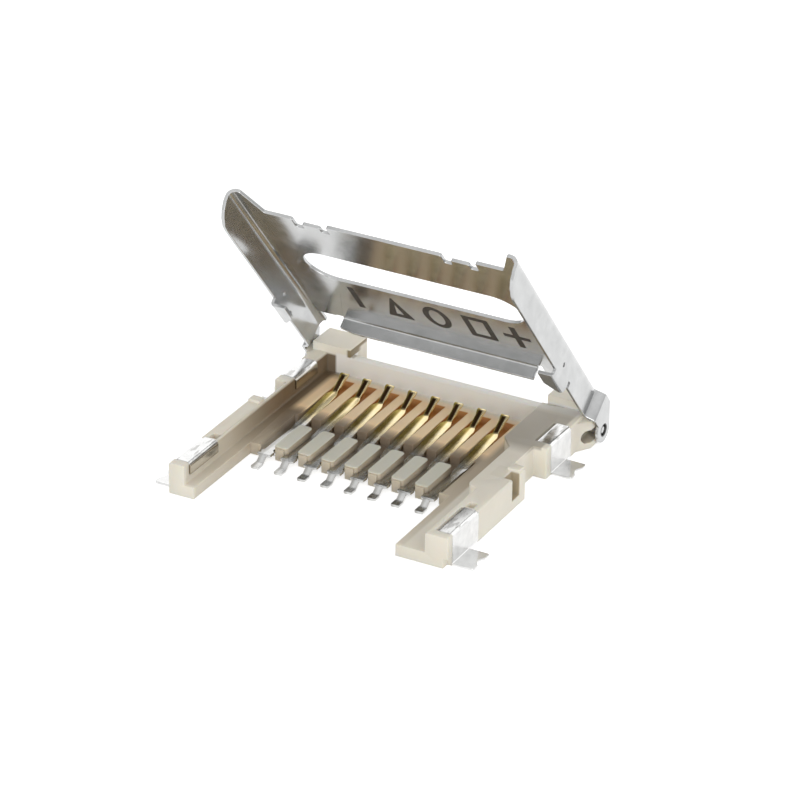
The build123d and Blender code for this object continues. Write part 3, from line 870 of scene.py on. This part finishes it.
def cover_half_outline(side):
    """One half of the developed cover sheet, from the middle of its front edge round to the lip."""
    notch_floor = main_edge - notch_depth
    inner_tongue = main_edge_half + notch_width
    inner_end = inner_tongue + inner_tongue_width
    outer_tongue = inner_end + notch_width
    relief = flange_u(relief_height - flange_drop)
    c = plan_corner
    tab_end = tab_turned + side_line - tab_fold - tab_tip
    shoulder = (arm_shoulder_reach, arm_top_height)
    far = hypot(*shoulder)
    swing = acos(arm_end_radius / far) + atan2(shoulder[1], shoulder[0])
    arm_foot = arm_end_radius * arm_foot_share
    lip_end = lip_bend_end - (lip_height - (lip_bend - cover_sheet / 2))
    lip_notch = lip_turn_start + lip_step
    corners = [
        (main_edge_half, main_edge, c),
        (main_edge_half, notch_floor, c),
        (inner_tongue, notch_floor, c),
        (inner_tongue, inner_tongue_edge, c),
        (inner_end, inner_tongue_edge, c),
        (inner_end, notch_floor, c),
        (outer_tongue, notch_floor, c),
        (outer_tongue, outer_tongue_edge, c),
        (outer_tongue_half, outer_tongue_edge, c),
        (cover_half - horn_width, horn_edge, c),
        (flange_end, horn_edge, nose_radius),
        (flange_end, tab_front, 0.03),
        (tab_end, tab_front, 0.05),
        (tab_end, tab_back + tab_slant, 0.05),
        (tab_turned + 0.07, tab_back, 0.04),
        (relief, tab_back, 0.03),
        (relief, tab_back - relief_length, 0.03),
        (flange_end, tab_back - relief_length, 0.03),
        (flange_end, arm_foot, 0.0),
    ]
    arc = []
    start = atan2(-flange_drop, arm_foot)
    sweep = 2 * pi - (swing - start)
    parts = 22
    for k in range(1, parts + 1):
        angle = start - sweep * k / parts
        arc.append((flange_u(arm_end_radius * sin(angle)), arm_end_radius * cos(angle), 0.0))
    rest = [
        (flange_u(arm_top_height), arm_shoulder_reach, 0.12),
        (flange_u(arm_top_height), joggle_start, 0.06),
        (bend_start, joggle_start, 0.08),
        (bend_start, plate_back, 0.08),
    ]
    if side > 0:
        rest += [
            (lobe_outer, plate_back, c),
            (lobe_outer, lobe_back, 0.3),
            (lobe_inner, lobe_back, c),
            (lobe_inner, lip_notch, 0.03),
            (lip_right, lip_notch, 0.03),
            (lip_right, lip_end, 0.05),
        ]
    else:
        rest += [
            (lip_left + lip_gap, plate_back, c),
            (lip_left + lip_gap, lip_notch, 0.03),
            (lip_left, lip_notch, 0.03),
            (lip_left, lip_end + lip_slant_height, 0.05),
            (lip_left - lip_slant_length, lip_end, 0.05),
        ]
    return corners + arc + rest


def make_cover(material):
    """The folded cover sheet with its window, holes, lip, arms and inward tabs."""
    left = [(-u, v, radius) for u, v, radius in reversed(cover_half_outline(-1))]
    outline = rounded(cover_half_outline(1) + left)
    window_middle = (window_back + window_front) / 2
    window_radius = (window_front - window_back) / 2
    reach = window_half - window_radius
    window = []
    for side in (1, -1):
        for k in range(17):
            angle = -pi / 2 + pi * k / 16
            end = reach + window_radius * cos(angle)
            window.append((side * end, window_middle + side * window_radius * sin(angle)))
    holes = [window]
    for side in (1, -1):
        stamped = side * flange_u(flange_hole_height), flange_hole_reach
        holes.append(oval(*stamped, flange_hole_radius, flange_hole_radius, 20))
        holes.append(oval(side * flange_u(0), 0.0, boss_radius, boss_radius, 28))
    across = []
    for side in (1, -1):
        across += [side * u for u in bend_cuts(bend_start, bend_length, 8)]
        across += [side * (bend_start - bend_guard), side * (flange_start + bend_guard)]
        across += [side * u for u in bend_cuts(flange_end + tab_straight, tab_fold * pi / 2, 5)]
    along = bend_cuts(joggle_end, joggle_start - joggle_end, 10)
    along += bend_cuts(lip_bend_end, lip_bend * pi / 2, 6)
    along += [joggle_end - bend_guard, joggle_start + bend_guard, lip_turn_start + bend_guard]
    blank = flat_blank(outline, holes, (across, along), cover_weld)
    piece = formed("cover_sheet", blank, cover_place, cover_sheet, cover_edge, material, "cover")
    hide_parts("cover")


def make_bosses(material):
    """The two bosses pressed inwards from the arms, open as dimples on the outside."""
    outer = arm_line + cover_sheet / 2
    inner_end = arm_line - cover_sheet / 2 - boss_reach
    profile = [
        (outer, boss_radius + 0.004),
        (outer, 0.245),
        (outer - 0.02, 0.232),
        (outer - 0.08, 0.222),
        (outer - 0.10, 0.19),
        (outer - 0.05, 0.15),
        (outer - 0.03, 0.11),
        (outer - 0.03, 0.0),
        (inner_end, 0.0),
        (inner_end, boss_radius - 0.09),
        (inner_end + 0.025, boss_radius - 0.03),
        (inner_end + 0.09, boss_radius),
        (arm_line - cover_sheet / 2, boss_radius + 0.004),
    ]
    bm = bmesh.new()
    parts = 32
    for side in (1, -1):
        rings = []
        for x, radius in profile:
            if radius == 0:
                rings.append([bm.verts.new((side * x * MM, pivot_y * MM, pivot_z * MM))])
                continue
            around = oval(pivot_y, pivot_z, radius, radius, parts)
            rings.append([bm.verts.new((side * x * MM, y * MM, z * MM)) for y, z in around])
        for a, b in zip(rings, rings[1:] + rings[:1]):
            for k in range(parts):
                n = (k + 1) % parts
                corners = [a[k % len(a)], a[n % len(a)], b[n % len(b)], b[k % len(b)]]
                unique = [v for i, v in enumerate(corners) if v not in corners[:i]]
                if len(unique) > 2:
                    bm.faces.new(unique)
    bmesh.ops.recalc_face_normals(bm, faces=bm.faces)
    for face in bm.faces:
        face.smooth = True
    mesh = bpy.data.meshes.new("cover_bosses")
    bm.to_mesh(mesh)
    bm.free()
    mesh.materials.append(material)
    mesh.set_sharp_from_angle(angle=boss_sharp)
    piece = link(bpy.data.objects.new("cover_bosses", mesh))
    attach(piece, "cover")


def row_tree():
    """Copies of a piece set out in a row along X: their count, the place of the first and their pitch."""
    tree = bpy.data.node_groups.new("pieces_in_a_row", "GeometryNodeTree")
    tree.interface.new_socket(name="Piece", in_out="INPUT", socket_type="NodeSocketGeometry")
    settings = {"Count": "Int", "First Place": "Float", "Pitch": "Float", "Finish": "Material"}
    for name, kind in settings.items():
        tree.interface.new_socket(name=name, in_out="INPUT", socket_type="NodeSocket" + kind)
    tree.interface.new_socket(name="Row", in_out="OUTPUT", socket_type="NodeSocketGeometry")
    nodes = Nodes(tree)
    given = nodes.add("NodeGroupInput").outputs
    first = nodes.add("ShaderNodeCombineXYZ", {"X": given["First Place"]})
    step = nodes.add("ShaderNodeCombineXYZ", {"X": given["Pitch"]})
    line = {"Count": given["Count"], "Start Location": first.outputs[0], "Offset": step.outputs[0]}
    places = nodes.add("GeometryNodeMeshLine", line)
    each = {"Points": places.outputs[0], "Instance": given["Piece"]}
    copies = nodes.add("GeometryNodeInstanceOnPoints", each)
    whole = nodes.add("GeometryNodeRealizeInstances", {"Geometry": copies.outputs[0]})
    look = {"Geometry": whole.outputs[0], "Material": given["Finish"]}
    finished = nodes.add("GeometryNodeSetMaterial", look)
    nodes.add("NodeGroupOutput", {"Row": finished.outputs[0]})
    return tree


def dish_share(y):
    """How far, from 0 to 1, a contact is dished across its width at a place along Y."""
    return max(0.0, min(1.0, (y - dish_start) / dish_rise, (dish_end - y) / dish_fall))


def make_contacts(material):
    """The row of eight spring contacts, each one a formed strip of its own."""
    path = bent_path(contact_path)
    points, stations = path
    half = [(width, length_to(path, 0, y), radius) for y, width, radius in reversed(contact_half_widths)]
    outline = rounded(mirrored(half), strip_step)
    blank = flat_blank(outline, [], (contact_cuts, stations[1:-1]), strip_weld)

    def place(u, v):
        """The formed place of a point on the strip: u across it, v along it."""
        point = point_at(points, stations, v)
        return u, point.x, point.y + contact_dish * (u / dish_half) ** 2 * dish_share(point.x)

    first = (contact_row_centre - contact_pitch * (contact_count - 1) / 2) * MM
    pitch = contact_pitch * MM
    values = {"Count": contact_count, "First Place": first, "Pitch": pitch, "Finish": material}
    row = row_tree(), values
    piece = formed("contact_row", blank, place, contact_stock, strip_edge, material, "housing", row)
    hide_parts(*[f"contact_{number}" for number in range(1, contact_count + 1)])


def make_tab(end, side_name, material):
    """A solder tab: a strap over the wall with a notched foot on the board."""
    side = 1 if side_name == "right" else -1
    path = bent_path(strap_path)
    points, stations = path
    start, strap_end, foot_end = strap_places[end]
    past = length_to(path, 0, foot_edge)
    length = stations[-1]
    middle = (start + foot_end) / 2
    notch_centre = length + foot_notch_centre - strap_path[-1][0]
    spread = acos((notch_centre - length) / foot_notch_radius)
    corners = [
        (0.0, start, 0.03),
        (0.0, strap_end, 0.03),
        (past, strap_end, 0.03),
        (past, foot_end, 0.05),
        (length, foot_end, 0.12),
    ]
    for k in range(9):
        angle = pi - spread + 2 * spread * k / 8
        notch = foot_notch_radius * cos(angle), foot_notch_radius * sin(angle)
        corners.append((notch_centre + notch[0], middle + notch[1], 0.0))
    corners.append((length, start, 0.12))
    blank = flat_blank(rounded(corners, strip_step), [], (stations[1:-1], ()), strip_weld)

    def place(u, v):
        """The formed place of a point on the strap: u along it, v along Y."""
        point = point_at(points, stations, u)
        return side * point.x, v, point.y

    node = f"solder_tab_{end}_{side_name}"
    piece = formed(f"{node}_strap", blank, place, tab_stock, strip_edge, material, "housing")
    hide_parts(node)


def mark_loops(shape):
    """The outline and the opening of a plain ink mark, about its own middle."""
    w, h, t = mark_width / 2, mark_height / 2, mark_stroke

    def upright(a, b, radius=0.0):
        """An upright rectangle from its half width and half height."""
        return rounded([(-a, -b, radius), (a, -b, radius), (a, b, radius), (-a, b, radius)])

    if shape == "bar":
        return upright(t / 2, h, 0.04), []
    if shape == "ring":
        return oval(0, 0, w, h, 28), [oval(0, 0, w - t, h - t, 28)]
    if shape == "square":
        return upright(w, h, 0.06), [upright(w - t, h - t)]
    if shape == "triangle":
        inner = [(-w + t * 1.55, -h + t), (w - t * 1.55, -h + t), (0.0, h - t * 2.4)]
        return rounded([(-w, -h, 0.05), (w, -h, 0.05), (0.0, h, 0.05)]), [inner]
    arm = t / 2
    cross = [(-arm, -h), (arm, -h), (arm, -arm), (w, -arm), (w, arm), (arm, arm)]
    cross += [(-u, -v) for u, v in cross]
    return cross, []


def make_marks(material):
    """Plain shapes in dark ink on the inner face of the cover, between the window and the lip."""
    height = plate_height - cover_sheet / 2 - ink_lift
    mesh = bpy.data.meshes.new("cover_marks")
    whole = bmesh.new()
    for across, shape in marks:
        outline, openings = mark_loops(shape)
        flat = flat_blank(outline, openings, ((), ()), mark_weld)
        copies = {}
        for vert in flat.verts:
            place = opened(across + vert.co.x, mark_reach + vert.co.y, height)
            copies[vert] = whole.verts.new(Vector(place) * MM)
        for face in flat.faces:
            whole.faces.new([copies[vert] for vert in face.verts])
        flat.free()
    inward = Vector((0, -sin(open_angle), -cos(open_angle)))
    whole.normal_update()
    for face in whole.faces:
        if face.normal.dot(inward) < 0:
            face.normal_flip()
    whole.to_mesh(mesh)
    whole.free()
    mesh.materials.append(material)
    piece = link(bpy.data.objects.new("cover_marks", mesh))
    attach(piece, "cover")


def softened_copy(node, name, edge, material, body):
    """A CAD node's shape with its doubles merged, its flats cut anew and its sharp edges rounded."""
    bm = bmesh.new()
    bm.from_mesh(frame["nodes"][node].data)
    bmesh.ops.remove_doubles(bm, verts=bm.verts, dist=same_point)
    bmesh.ops.dissolve_limit(bm, angle_limit=same_flat, verts=bm.verts, edges=bm.edges)
    bmesh.ops.triangulate(bm, faces=bm.faces, quad_method="BEAUTY", ngon_method="BEAUTY")
    mesh = bpy.data.meshes.new(name)
    bm.to_mesh(mesh)
    bm.free()
    piece = thickened(name, mesh, 0, edge, material, body)
    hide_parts(node)


scene = bpy.context.scene
scene.view_settings.view_transform = "Standard"
make_camera()
make_world()
make_lights()
make_floor()

resin = resin_material()
steel = cover_steel_material()
tin = tin_material()
plating = contact_material()
ink = ink_material()

softened_copy("housing", "housing_moulding", housing_edge, resin, "housing")
make_cover(steel)
make_bosses(steel)
make_marks(ink)
make_contacts(plating)
for end in ("front", "rear"):
    for side_name in ("left", "right"):
        make_tab(end, side_name, tin)
